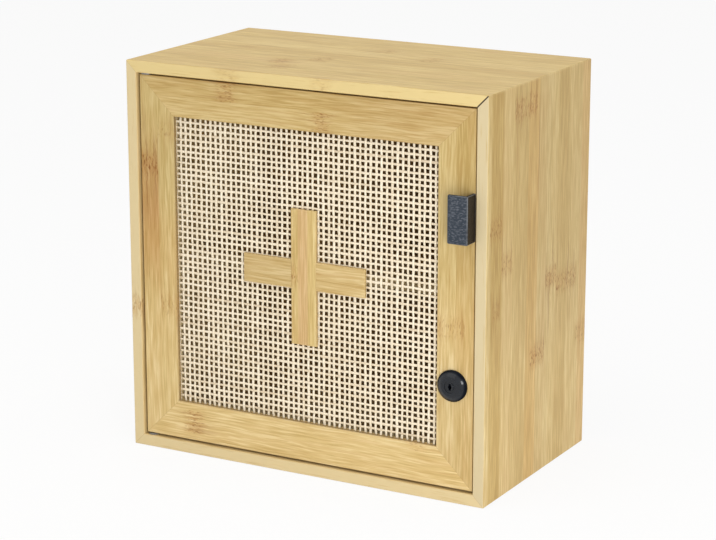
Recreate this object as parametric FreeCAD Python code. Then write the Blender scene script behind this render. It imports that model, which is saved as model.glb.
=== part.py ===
import FreeCAD, Part
import math
import os

# Medicine cabinet of bamboo boards with an inset, lockable door.
# Lengths are millimetres, +Z is up and the door faces -Y.
# The origin is the middle of the underside.

Vector = FreeCAD.Vector

# Carcass boards
cabinet_width = 320.0
cabinet_height = 320.0
cabinet_depth = 185.0
board_thickness = 9.5
board_arris = 1.0             # rounding of the outer edges
opening_arris = 0.6           # bevel round the door opening
spline_thickness = 2.5        # loose tongues in the carcass mitres
spline_width = 7.0
spline_stop = 12.0            # splines end this far from the front and rear edges

# Back panel and its brads
back_thickness = 3.0
back_rabbet = 5.0             # how far the panel reaches over each board
panel_clearance = 0.25        # play of a panel in its rabbet
brad_diameter = 1.6
brad_length = 12.0
brad_head_diameter = 3.0
brad_head_height = 0.8
brads_per_side = 3

# Hanging rail
rail_height = 30.0
rail_thickness = 15.0
rail_arris = 0.8
wall_hole_diameter = 5.5
wall_hole_spacing = 200.0

# Shelf and its pins
shelf_thickness = 9.0
shelf_setback = 75.0          # from the front of the carcass
shelf_underside = 140.0       # above the base
shelf_side_clearance = 0.5
shelf_arris = 0.8
shelf_pin_diameter = 5.0
shelf_pin_seat = 6.0          # depth in the side board
shelf_pin_reach = 9.0         # under the shelf
shelf_pin_flat = 0.8          # depth of the flat that the shelf lies on
shelf_pin_inset = 18.0        # from the front and rear edges of the shelf

# Door frame
door_gap = 1.5                # all round the door
door_recess = 2.5             # behind the front of the carcass
door_thickness = 14.0
member_width = 31.5
door_arris = 0.8
lip_thickness = 3.5           # wood in front of the cane
lip_bevel = 0.5
cane_rabbet = 4.0             # how far the cane reaches behind each member
door_spline_thickness = 3.0
door_spline_length = 16.0     # along the mitre
door_spline_width = 10.0      # across the mitre
door_spline_back = 3.0        # wood behind the spline
door_spline_share = 0.58      # of the member width, from the corner to the middle of the spline

# Cane panel
cane_thickness = 1.6
cane_holes_across = 17
cane_holes_down = 17
cane_hole_share = 0.5         # of the pitch

# Cross on the cane
cross_span = 109.0
cross_upright_width = 22.5
cross_bar_height = 23.0
cross_thickness = 2.5
cross_rise = 0.7              # of the upright's middle above the window's
cross_bar_rise = 2.3          # of the bar's middle above the upright's
cross_bevel = 0.4
cross_lap_share = 0.5         # of the thickness that the upright keeps

# Pivots of the door
pivot_from_edge = 5.0         # from the hinge edge of the door
swing_clearance = 0.3         # of the door's front corner from the side board
pivot_pin_diameter = 4.0
pivot_pin_seat = 12.0         # depth in the door
pivot_pin_engagement = 5.5    # depth in the carcass
pivot_bush_diameter = 7.0
pivot_bush_depth = 6.5
pivot_flange_diameter = 10.0
thrust_clearance = 0.3        # between the flange and the door
running_clearance = 0.05      # radial, in bearings

# Handle
handle_width = 17.0
handle_projection = 13.5
handle_height = 37.5
handle_plate = 2.0            # thickness of its front and side
handle_bevel = 0.8
handle_drop = 82.6            # from the top of the door to its middle
handle_foot_width = 13.0
handle_foot_height = 28.0
handle_foot_thickness = 3.0
handle_screw_spacing = 18.0
handle_screw_diameter = 4.0
handle_screw_head = 7.5
handle_screw_head_height = 2.4
handle_screw_grip = 2.4       # depth in the foot

# Lock
lock_rise = 82.5              # from the bottom of the door to the lock axis
lock_place_share = 0.636      # of the stile's full-depth wood, from the outer edge
bezel_diameter = 25.0
bezel_rim = 1.5
bezel_height = 4.8
bezel_face_diameter = 15.0
bezel_dome_shares = (0.42, 0.56)
barrel_diameter = 13.0
barrel_past_nut = 2.0
nut_flats = 18.0
nut_thickness = 4.0
plug_diameter = 9.5
plug_recess = 0.4
key_slot_width = 1.8
key_slot_height = 5.2
key_hole_diameter = 3.0
key_collar_diameter = 6.6
key_collar_height = 0.6
key_collar_rounding = 0.5
key_depth = 8.0
tail_size = 5.5               # square that drives the cam
cam_end_gap = 0.3
cam_thickness = 2.0
cam_width = 11.0
cam_hub_diameter = 14.0
cam_tip_clearance = 1.0
cam_screw_head = 9.0
cam_screw_head_height = 1.8
cam_screw_diameter = 3.0
cam_screw_grip = 7.0

# Strike for the lock
strike_thickness = 1.5
strike_height = 24.0
strike_lip = 6.5
strike_leg = 18.0
strike_clearance = 0.3
strike_screw_spacing = 12.0
strike_screw_share = 0.6      # of the leg, from its lip

# Magnetic catch
catch_from_edge = 55.0        # from the lock edge of the door to its middle
case_width = 28.0
case_depth = 14.0
case_height = 14.0
ear_width = 9.0
ear_thickness = 2.5
magnet_width = 20.0
magnet_depth = 9.0
magnet_height = 5.0
pole_thickness = 1.0
pole_proud = 0.5
catch_gap = 0.2               # between the poles and the plate
plate_width = 26.0
plate_height = 9.0
plate_thickness = 1.2

# Small screws
screw_diameter = 3.0
screw_head_diameter = 5.6
screw_head_height = 1.7
screw_grip = 6.5              # depth in the wood
plate_screw_head_height = 1.5
slot_width_share = 0.16       # of the head diameter
slot_depth_share = 0.5        # of the head height

# Workshop allowances
fit_clearance = 0.05          # radial, of pins and screws in their seats
overrun = 1.0                 # a cut runs this far past the face that it opens

# Faces of the carcass
half_width = cabinet_width / 2
front = -cabinet_depth / 2
back = cabinet_depth / 2
inner_x = half_width - board_thickness
inner_bottom = board_thickness
inner_top = cabinet_height - board_thickness
back_front = back - back_thickness

# Faces of the door
door_left = -inner_x + door_gap
door_right = inner_x - door_gap
door_bottom = inner_bottom + door_gap
door_top = inner_top - door_gap
door_front = front + door_recess
door_back = door_front + door_thickness
window_left = door_left + member_width
window_right = door_right - member_width
window_bottom = door_bottom + member_width
window_top = door_top - member_width
cane_front = door_front + lip_thickness
cane_back = cane_front + cane_thickness

# The pivot axis lies so far back that the door's front corner just passes the side board
pivot_x = door_left + pivot_from_edge
pivot_reach = pivot_from_edge + door_gap - swing_clearance
pivot_y = door_front + math.sqrt(pivot_reach**2 - pivot_from_edge**2)
flange_thickness = door_gap - thrust_clearance

# Lock axis and the planes behind the door
lock_x = door_right - (member_width - cane_rabbet) * lock_place_share
lock_z = door_bottom + lock_rise
nut_back = door_back + nut_thickness
barrel_end = nut_back + barrel_past_nut
cam_front = barrel_end + cam_end_gap
cam_back = cam_front + cam_thickness
strike_back = cam_front - strike_clearance
strike_front = strike_back - strike_thickness
strike_face = inner_x - strike_thickness
cam_reach = strike_face - cam_tip_clearance - lock_x

# Middle of the catch
catch_x = door_right - catch_from_edge
catch_z = inner_top - case_height / 2
pole_front = door_back + plate_thickness + catch_gap
case_front = pole_front + pole_proud


def box(x0, x1, y0, y1, z0, z1):
    """Box between two opposite corners."""
    return Part.makeBox(x1 - x0, y1 - y0, z1 - z0, Vector(x0, y0, z0))


def rod(diameter, start, end):
    """Round bar between the middles of its two ends."""
    along = end.sub(start)
    return Part.makeCylinder(diameter / 2, along.Length, start, along)


def prism(outline, travel):
    """Straight prism on a closed outline of points."""
    return Part.Face(Part.makePolygon(outline + outline[:1])).extrude(travel)


def rounded_box(x0, x1, y0, y1, z0, z1, radius):
    """Box with all its edges rounded."""
    block = box(x0, x1, y0, y1, z0, z1)
    return block.makeFillet(radius, block.Edges)


def flared_cut(x0, x1, z0, z1, y0, bevel):
    """Cutter that bevels the front edge of a rectangular opening at y0."""
    wires = []
    for y, grow in ((y0 - overrun, bevel + overrun), (y0 + bevel, 0)):
        points = [
            Vector(x0 - grow, y, z0 - grow),
            Vector(x1 + grow, y, z0 - grow),
            Vector(x1 + grow, y, z1 + grow),
            Vector(x0 - grow, y, z1 + grow),
        ]
        wires.append(Part.makePolygon(points + points[:1]))
    return Part.makeLoft(wires, True, True)


def mitred(ring, x0, x1, y0, y1, z0, z1, reach):
    """Parts a ring of boards along its corner mitres: bottom, right, top and left member."""
    outer = [(x0, z0), (x1, z0), (x1, z1), (x0, z1)]
    inner = [
        (x0 + reach, z0 + reach),
        (x1 - reach, z0 + reach),
        (x1 - reach, z1 - reach),
        (x0 + reach, z1 - reach),
    ]
    members = []
    for i in range(len(outer)):
        j = (i + 1) % len(outer)
        corners = (outer[i], outer[j], inner[j], inner[i])
        outline = [Vector(x, y0, z) for x, z in corners]
        members.append(ring.common(prism(outline, Vector(0, y1 - y0, 0))))
    return members


def mitre_splines(x0, x1, y0, y1, z0, z1, depth, along, across):
    """Tongues over the four mitres of a ring, with their middles at a depth from both faces."""
    splines = []
    for x, inward_x in ((x0, 1), (x1, -1)):
        for z, inward_z in ((z0, 1), (z1, -1)):
            middle = Vector(x + inward_x * depth, y0, z + inward_z * depth)
            on_mitre = Vector(inward_x, 0, inward_z).normalize() * (along / 2)
            over_mitre = Vector(inward_x, 0, -inward_z).normalize() * (across / 2)
            outline = [
                middle + on_mitre + over_mitre,
                middle + on_mitre - over_mitre,
                middle - on_mitre - over_mitre,
                middle - on_mitre + over_mitre,
            ]
            splines.append(prism(outline, Vector(0, y1 - y0, 0)))
    return splines


def turned_to(shape, seat, direction):
    """Moves a shape that was made along +Z to its seat, along a direction."""
    shape.Placement = FreeCAD.Placement(seat, FreeCAD.Rotation(Vector(0, 0, 1), direction))
    return shape


def head_slot(diameter, height):
    """Cutter for the driver slot in a screw head whose top is at -height."""
    half_slot = diameter * slot_width_share / 2
    radius = diameter / 2 + overrun
    return box(-radius, radius, -half_slot, half_slot, -height - overrun, -height * slot_depth_share)


def pan_screw(seat, direction, diameter, head_diameter, head_height, length):
    """Screw whose head lies on its seat and whose shank points along the direction."""
    head = Part.makeCylinder(head_diameter / 2, head_height, Vector(0, 0, -head_height))
    shank = Part.makeCylinder(diameter / 2, length)
    screw = head.cut(head_slot(head_diameter, head_height)).fuse(shank).removeSplitter()
    return turned_to(screw, seat, direction)


def screw_hole(seat, direction, diameter, length):
    """Cutter for a screw's shank, open at its seat."""
    hole = Part.makeCylinder(diameter / 2 + fit_clearance, length + fit_clearance + overrun)
    hole.translate(Vector(0, 0, -overrun))
    return turned_to(hole, seat, direction)


def turned(profile, x, z):
    """Solid of revolution about the line through x and z along Y, from edges of radius and y."""
    face = Part.Face(Part.Wire(profile))
    return face.revolve(Vector(x, 0, z), Vector(0, 1, 0), 360)


def make_wall_holes():
    """Cutters for the wall screws, through the hanging rail and the back panel."""
    height = inner_top - rail_height / 2
    start_y = back_front - rail_thickness - overrun
    holes = []
    for x in (-wall_hole_spacing / 2, wall_hole_spacing / 2):
        start = Vector(x, start_y, height)
        holes.append(rod(wall_hole_diameter, start, Vector(x, back + overrun, height)))
    return holes


def brad_seats():
    """Where the brads enter the back panel: evenly along the middle of each rabbet."""
    side = inner_x + back_rabbet / 2
    low = inner_bottom - back_rabbet / 2
    high = inner_top + back_rabbet / 2
    seats = []
    for i in range(brads_per_side):
        share = (i + 1) / (brads_per_side + 1)
        across = -side + 2 * side * share
        up = low + (high - low) * share
        seats += [Vector(across, back, low), Vector(across, back, high)]
        seats += [Vector(-side, back, up), Vector(side, back, up)]
    return seats


def make_brad(seat, clearance):
    """Brad driven forwards from its seat, grown by a clearance to make its hole."""
    head_end = seat + Vector(0, -brad_head_height - clearance, 0)
    point = seat + Vector(0, -brad_length - clearance, 0)
    head = rod(brad_head_diameter + 2 * clearance, seat, head_end)
    shank = rod(brad_diameter + 2 * clearance, seat, point)
    return head.fuse(shank).removeSplitter()


def shelf_pin_places():
    """Side, depth and height of the axis of each shelf pin."""
    height = shelf_underside - shelf_pin_diameter / 2 + shelf_pin_flat
    places = []
    for side in (-1, 1):
        for y in (front + shelf_setback + shelf_pin_inset, back_front - shelf_pin_inset):
            places.append((side, y, height))
    return places


def strike_screw_seats():
    """Where the strike's screws enter its leg."""
    y = strike_front + strike_leg * strike_screw_share
    half = strike_screw_spacing / 2
    return [Vector(strike_face, y, lock_z + side * half) for side in (-1, 1)]


def catch_screw_seats():
    """Where the catch's screws enter its ears."""
    offset = (case_width + ear_width) / 2
    y = case_front + case_depth / 2
    return [Vector(catch_x + side * offset, y, inner_top - ear_thickness) for side in (-1, 1)]


def handle_screw_seats():
    """Where the handle's screws enter the back of the lock stile."""
    x = door_right - handle_foot_width / 2
    z = door_top - handle_drop
    half = handle_screw_spacing / 2
    return [Vector(x, door_back, z + side * half) for side in (-1, 1)]


def make_carcass():
    """The four mitred boards, the splines in their mitres, the back panel and its brads."""
    shell = rounded_box(-half_width, half_width, front, back, 0, cabinet_height, board_arris)
    room = box(-inner_x, inner_x, front - overrun, back + overrun, inner_bottom, inner_top)
    rabbet_x = inner_x + back_rabbet
    rabbet_bottom = inner_bottom - back_rabbet
    rabbet_top = inner_top + back_rabbet
    rabbet = box(-rabbet_x, rabbet_x, back_front, back + overrun, rabbet_bottom, rabbet_top)
    bevel = flared_cut(-inner_x, inner_x, inner_bottom, inner_top, front, opening_arris)
    splines = mitre_splines(
        -half_width,
        half_width,
        front + spline_stop,
        back - spline_stop,
        0,
        cabinet_height,
        board_thickness / 2,
        spline_thickness,
        spline_width,
    )
    brad_holes = [make_brad(seat, fit_clearance) for seat in brad_seats()]
    ring = shell.cut([room, rabbet, bevel] + splines + brad_holes)
    bottom, right, top, left = mitred(
        ring,
        -half_width,
        half_width,
        front,
        back,
        0,
        cabinet_height,
        board_thickness + overrun,
    )
    panel = box(
        -rabbet_x + panel_clearance,
        rabbet_x - panel_clearance,
        back_front,
        back,
        rabbet_bottom + panel_clearance,
        rabbet_top - panel_clearance,
    )
    pin_hole = shelf_pin_diameter + 2 * fit_clearance
    for side, y, z in shelf_pin_places():
        wall = Vector(side * (inner_x - overrun), y, z)
        end = Vector(side * (inner_x + shelf_pin_seat + fit_clearance), y, z)
        if side < 0:
            left = left.cut(rod(pin_hole, wall, end))
        else:
            right = right.cut(rod(pin_hole, wall, end))
    strike_length = strike_thickness + screw_grip
    strike_holes = [
        screw_hole(seat, Vector(1, 0, 0), screw_diameter, strike_length)
        for seat in strike_screw_seats()
    ]
    catch_length = ear_thickness + screw_grip
    catch_holes = [
        screw_hole(seat, Vector(0, 0, 1), screw_diameter, catch_length)
        for seat in catch_screw_seats()
    ]
    bush_hole = pivot_bush_diameter + 2 * fit_clearance
    upper_start = Vector(pivot_x, pivot_y, inner_top - overrun)
    upper_end = Vector(pivot_x, pivot_y, inner_top + pivot_bush_depth + fit_clearance)
    lower_start = Vector(pivot_x, pivot_y, inner_bottom + overrun)
    lower_end = Vector(pivot_x, pivot_y, inner_bottom - pivot_bush_depth - fit_clearance)
    return {
        "top_panel": top.cut(catch_holes + [rod(bush_hole, upper_start, upper_end)]),
        "bottom_panel": bottom.cut(rod(bush_hole, lower_start, lower_end)),
        "left_side_panel": left,
        "right_side_panel": right.cut(strike_holes),
        "corner_splines": Part.makeCompound(splines),
        "back_panel": panel.cut(brad_holes + make_wall_holes()),
        "back_panel_brads": Part.makeCompound([make_brad(seat, 0) for seat in brad_seats()]),
    }


def make_fittings():
    """What is fixed inside the carcass: hanging rail, shelf, shelf pins and pivot bushes."""
    rail_front = back_front - rail_thickness
    rail_bottom = inner_top - rail_height
    rail_outline = [
        Vector(-inner_x, back_front, inner_top),
        Vector(-inner_x, back_front, rail_bottom),
        Vector(-inner_x, rail_front + rail_arris, rail_bottom),
        Vector(-inner_x, rail_front, rail_bottom + rail_arris),
        Vector(-inner_x, rail_front, inner_top),
    ]
    rail = prism(rail_outline, Vector(2 * inner_x, 0, 0))
    shelf = rounded_box(
        -inner_x + shelf_side_clearance,
        inner_x - shelf_side_clearance,
        front + shelf_setback,
        back_front,
        shelf_underside,
        shelf_underside + shelf_thickness,
        shelf_arris,
    )
    pins = []
    for side, y, z in shelf_pin_places():
        seated = Vector(side * (inner_x + shelf_pin_seat), y, z)
        free = Vector(side * (inner_x - shelf_pin_reach), y, z)
        pin = rod(shelf_pin_diameter, seated, free)
        width = shelf_pin_diameter
        ends = sorted((side * inner_x, side * (inner_x - shelf_pin_reach - overrun)))
        flat = box(ends[0], ends[1], y - width, y + width, shelf_underside, shelf_underside + width)
        pins.append(pin.cut(flat))
    return {
        "hanging_rail": rail.cut(make_wall_holes()),
        "shelf": shelf,
        "shelf_pins": Part.makeCompound(pins),
        "upper_pivot_bush": make_bush(inner_top, 1),
        "lower_pivot_bush": make_bush(inner_bottom, -1),
    }


def make_bush(face, outward):
    """Flanged sleeve seated in a board's face, with its flange in the gap above or below the door."""
    seat = Vector(pivot_x, pivot_y, face)
    deep = seat + Vector(0, 0, outward * pivot_bush_depth)
    lip = seat - Vector(0, 0, outward * flange_thickness)
    past = Vector(0, 0, outward * overrun)
    sleeve = rod(pivot_bush_diameter, seat, deep).fuse(rod(pivot_flange_diameter, seat, lip))
    bore = rod(pivot_pin_diameter + 2 * running_clearance, lip - past, deep + past)
    return sleeve.removeSplitter().cut(bore)


def make_strike():
    """Angle plate that the lock's cam turns behind, and its two screws."""
    low = lock_z - strike_height / 2
    high = lock_z + strike_height / 2
    lip = box(inner_x - strike_lip, inner_x, strike_front, strike_back, low, high)
    leg = box(strike_face, inner_x, strike_front, strike_front + strike_leg, low, high)
    length = strike_thickness + screw_grip
    into_wall = Vector(1, 0, 0)
    holes = [screw_hole(seat, into_wall, screw_diameter, length) for seat in strike_screw_seats()]
    screws = [
        pan_screw(seat, into_wall, screw_diameter, screw_head_diameter, screw_head_height, length)
        for seat in strike_screw_seats()
    ]
    return {
        "lock_strike": lip.fuse(leg).removeSplitter().cut(holes),
        "strike_screws": Part.makeCompound(screws),
    }


def make_catch():
    """Magnetic catch under the top board: case, magnet, pole plates and screws."""
    half = case_width / 2
    bottom = inner_top - case_height
    rear = case_front + case_depth
    case = box(catch_x - half, catch_x + half, case_front, rear, bottom, inner_top)
    ear = half + ear_width
    ears = box(catch_x - ear, catch_x + ear, case_front, rear, inner_top - ear_thickness, inner_top)
    half_magnet = magnet_width / 2
    magnet_top = catch_z + magnet_height / 2
    magnet_bottom = catch_z - magnet_height / 2
    magnet_back = case_front + magnet_depth
    pocket = box(
        catch_x - half_magnet,
        catch_x + half_magnet,
        case_front - overrun,
        magnet_back,
        magnet_bottom - pole_thickness,
        magnet_top + pole_thickness,
    )
    length = ear_thickness + screw_grip
    up = Vector(0, 0, 1)
    holes = [screw_hole(seat, up, screw_diameter, length) for seat in catch_screw_seats()]
    screws = [
        pan_screw(seat, up, screw_diameter, screw_head_diameter, screw_head_height, length)
        for seat in catch_screw_seats()
    ]
    left = catch_x - half_magnet
    right = catch_x + half_magnet
    poles = [
        box(left, right, pole_front, magnet_back, magnet_bottom - pole_thickness, magnet_bottom),
        box(left, right, pole_front, magnet_back, magnet_top, magnet_top + pole_thickness),
    ]
    return {
        "catch_case": case.fuse(ears).removeSplitter().cut([pocket] + holes),
        "catch_magnet": box(left, right, case_front, magnet_back, magnet_bottom, magnet_top),
        "catch_poles": Part.makeCompound(poles),
        "catch_screws": Part.makeCompound(screws),
    }


def plate_screw_envelope(clearance):
    """Countersunk screw of the catch plate, grown by a clearance to make its hole."""
    seat = Vector(catch_x, door_back + plate_thickness, catch_z)
    forward = Vector(0, -1, 0)
    head = Part.makeCone(
        screw_head_diameter / 2 + clearance,
        screw_diameter / 2 + clearance,
        plate_screw_head_height,
        seat,
        forward,
    )
    point = seat + forward * (plate_thickness + screw_grip + clearance)
    return head.fuse(rod(screw_diameter + 2 * clearance, seat, point)).removeSplitter()


def make_door_frame():
    """The four mitred members of the door and the splines in their mitres."""
    slab = rounded_box(door_left, door_right, door_front, door_back, door_bottom, door_top, door_arris)
    window = box(
        window_left, window_right, door_front - overrun, door_back + overrun, window_bottom, window_top
    )
    rabbet = box(
        window_left - cane_rabbet,
        window_right + cane_rabbet,
        cane_front,
        door_back + overrun,
        window_bottom - cane_rabbet,
        window_top + cane_rabbet,
    )
    bevel = flared_cut(window_left, window_right, window_bottom, window_top, door_front, lip_bevel)
    spline_rear = door_back - door_spline_back
    splines = mitre_splines(
        door_left,
        door_right,
        spline_rear - door_spline_thickness,
        spline_rear,
        door_bottom,
        door_top,
        member_width * door_spline_share,
        door_spline_length,
        door_spline_width,
    )
    pin_hole = pivot_pin_diameter + 2 * fit_clearance
    pin_holes = []
    for edge, inward in ((door_top, -1), (door_bottom, 1)):
        start = Vector(pivot_x, pivot_y, edge - inward * overrun)
        end = Vector(pivot_x, pivot_y, edge + inward * (pivot_pin_seat + fit_clearance))
        pin_holes.append(rod(pin_hole, start, end))
    forward = Vector(0, -1, 0)
    handle_holes = [
        screw_hole(seat, forward, handle_screw_diameter, door_thickness + overrun)
        for seat in handle_screw_seats()
    ]
    barrel_hole = rod(
        barrel_diameter + 2 * fit_clearance,
        Vector(lock_x, door_front - overrun, lock_z),
        Vector(lock_x, door_back + overrun, lock_z),
    )
    ring = slab.cut([window, rabbet, bevel] + splines + pin_holes)
    ring = ring.cut(handle_holes + [barrel_hole, plate_screw_envelope(fit_clearance)])
    bottom, right, top, left = mitred(
        ring,
        door_left,
        door_right,
        door_front,
        door_back,
        door_bottom,
        door_top,
        member_width + overrun,
    )
    return {
        "hinge_stile": left,
        "lock_stile": right,
        "top_rail": top,
        "bottom_rail": bottom,
        "door_corner_splines": Part.makeCompound(splines),
    }


def make_cane_panel():
    """Net of cane in the door's rabbet: one holed face with its thickness."""
    reach = cane_rabbet - panel_clearance
    sheet = [
        Vector(window_left - reach, cane_front, window_bottom - reach),
        Vector(window_right + reach, cane_front, window_bottom - reach),
        Vector(window_right + reach, cane_front, window_top + reach),
        Vector(window_left - reach, cane_front, window_top + reach),
    ]
    pitch_x = (window_right - window_left) / cane_holes_across
    pitch_z = (window_top - window_bottom) / cane_holes_down
    half_x = pitch_x * cane_hole_share / 2
    half_z = pitch_z * cane_hole_share / 2
    wires = [Part.makePolygon(sheet + sheet[:1])]
    for column in range(cane_holes_across):
        for row in range(cane_holes_down):
            x = window_left + (column + 0.5) * pitch_x
            z = window_bottom + (row + 0.5) * pitch_z
            hole = [
                Vector(x - half_x, cane_front, z - half_z),
                Vector(x + half_x, cane_front, z - half_z),
                Vector(x + half_x, cane_front, z + half_z),
                Vector(x - half_x, cane_front, z + half_z),
            ]
            wires.append(Part.makePolygon(hole + hole[:1]))
    return Part.Face(wires, "Part::FaceMakerCheese").extrude(Vector(0, cane_thickness, 0))


def make_cane_beads():
    """Mitred beads behind the cane, flush with the back of the door."""
    reach = cane_rabbet - panel_clearance
    left = window_left - reach
    right = window_right + reach
    bottom = window_bottom - reach
    top = window_top + reach
    outside = box(left, right, cane_back, door_back, bottom, top)
    inside = box(
        window_left, window_right, cane_back - overrun, door_back + overrun, window_bottom, window_top
    )
    beads = mitred(outside.cut(inside), left, right, cane_back, door_back, bottom, top, reach + overrun)
    names = ("lower_cane_bead", "lock_side_cane_bead", "upper_cane_bead", "hinge_side_cane_bead")
    return dict(zip(names, beads))


def make_cross():
    """Cross in front of the cane: the upright laps over the bar."""
    middle_x = (window_left + window_right) / 2
    middle_z = (window_bottom + window_top) / 2 + cross_rise
    bar_z = middle_z + cross_bar_rise
    cross_front = cane_front - cross_thickness
    lap = cross_front + cross_thickness * cross_lap_share
    half_span = cross_span / 2
    half_upright = cross_upright_width / 2
    half_bar = cross_bar_height / 2
    upright = bevelled_front(
        box(
            middle_x - half_upright,
            middle_x + half_upright,
            cross_front,
            cane_front,
            middle_z - half_span,
            middle_z + half_span,
        )
    )
    bar = bevelled_front(
        box(
            middle_x - half_span,
            middle_x + half_span,
            cross_front,
            cane_front,
            bar_z - half_bar,
            bar_z + half_bar,
        )
    )
    front_half = box(
        middle_x - half_upright,
        middle_x + half_upright,
        cross_front - overrun,
        lap,
        bar_z - half_bar - overrun,
        bar_z + half_bar + overrun,
    )
    rear_half = box(
        middle_x - half_upright - overrun,
        middle_x + half_upright + overrun,
        lap,
        cane_front + overrun,
        bar_z - half_bar,
        bar_z + half_bar,
    )
    return {"cross_upright": upright.cut(rear_half), "cross_bar": bar.cut(front_half)}


def bevelled_front(block):
    """Box with bevels on the edges of its front face."""
    face_y = block.BoundBox.YMin
    edges = [edge for edge in block.Edges if edge.BoundBox.YMax < face_y + cross_bevel]
    return block.makeChamfer(cross_bevel, edges)


def make_pivot_pins():
    """Pins in the top and bottom of the hinge stile that turn in the carcass bushes."""
    pins = {}
    for name, edge, outward in (("upper_pivot_pin", door_top, 1), ("lower_pivot_pin", door_bottom, -1)):
        inside = Vector(pivot_x, pivot_y, edge - outward * pivot_pin_seat)
        outside = Vector(pivot_x, pivot_y, edge + outward * (door_gap + pivot_pin_engagement))
        pins[name] = rod(pivot_pin_diameter, inside, outside)
    return pins


def make_handle():
    """Angle handle, flush with the edge of the door, on a foot behind its front plate, and its two screws."""
    middle_z = door_top - handle_drop
    half = handle_height / 2
    handle_front = door_front - handle_projection
    handle_left = door_right - handle_width
    block = box(handle_left, door_right, handle_front, door_front, middle_z - half, middle_z + half)
    edges = [edge for edge in block.Edges if edge.BoundBox.YMin < door_front - handle_bevel]
    block = block.makeChamfer(handle_bevel, edges)
    finger_gap = box(
        handle_left - overrun,
        door_right - handle_plate,
        handle_front + handle_plate,
        door_front + overrun,
        middle_z - half - overrun,
        middle_z + half + overrun,
    )
    foot = box(
        door_right - handle_foot_width,
        door_right - handle_plate / 2,
        door_front - handle_foot_thickness,
        door_front,
        middle_z - handle_foot_height / 2,
        middle_z + handle_foot_height / 2,
    )
    angle = block.cut(finger_gap).fuse(foot).removeSplitter()
    forward = Vector(0, -1, 0)
    length = door_thickness + handle_screw_grip
    holes = [
        screw_hole(seat, forward, handle_screw_diameter, length) for seat in handle_screw_seats()
    ]
    screws = [
        pan_screw(
            seat,
            forward,
            handle_screw_diameter,
            handle_screw_head,
            handle_screw_head_height,
            length,
        )
        for seat in handle_screw_seats()
    ]
    return {"handle": angle.cut(holes), "handle_screws": Part.makeCompound(screws)}


def make_catch_plate():
    """Steel plate on the back of the top rail that the catch holds, and its screw."""
    half = plate_width / 2
    half_height = plate_height / 2
    plate = box(
        catch_x - half,
        catch_x + half,
        door_back,
        door_back + plate_thickness,
        catch_z - half_height,
        catch_z + half_height,
    )
    return {
        "catch_plate": plate.cut(plate_screw_envelope(fit_clearance)),
        "catch_plate_screw": plate_screw_envelope(0),
    }


def make_lock_body():
    """Domed bezel with its barrel through the stile, and the nut behind."""
    rim = bezel_diameter / 2
    face = bezel_face_diameter / 2
    bore = plug_diameter / 2 + running_clearance
    barrel = barrel_diameter / 2
    rim_y = door_front - bezel_rim
    face_y = door_front - bezel_height
    dome_radius = rim - (rim - face) * bezel_dome_shares[0]
    dome_y = rim_y - (rim_y - face_y) * bezel_dome_shares[1]

    def at(radius, y):
        return Vector(lock_x + radius, y, lock_z)

    dome = Part.Arc(at(rim, rim_y), at(dome_radius, dome_y), at(face, face_y))
    profile = [
        Part.makeLine(at(rim, door_front), at(rim, rim_y)),
        dome.toShape(),
        Part.makeLine(at(face, face_y), at(bore, face_y)),
        Part.makeLine(at(bore, face_y), at(bore, barrel_end)),
        Part.makeLine(at(bore, barrel_end), at(barrel, barrel_end)),
        Part.makeLine(at(barrel, barrel_end), at(barrel, door_front)),
        Part.makeLine(at(barrel, door_front), at(rim, door_front)),
    ]
    nut_radius = nut_flats / math.sqrt(3)
    outline = []
    for i in range(6):
        angle = math.radians(60 * i)
        corner = Vector(nut_radius * math.cos(angle), 0, nut_radius * math.sin(angle))
        outline.append(Vector(lock_x, door_back, lock_z) + corner)
    nut = prism(outline, Vector(0, nut_thickness, 0))
    thread = rod(
        barrel_diameter + 2 * fit_clearance,
        Vector(lock_x, door_back - overrun, lock_z),
        Vector(lock_x, nut_back + overrun, lock_z),
    )
    return {
        "lock_housing": turned(profile, lock_x, lock_z),
        "lock_nut": nut.cut(thread),
    }


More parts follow.
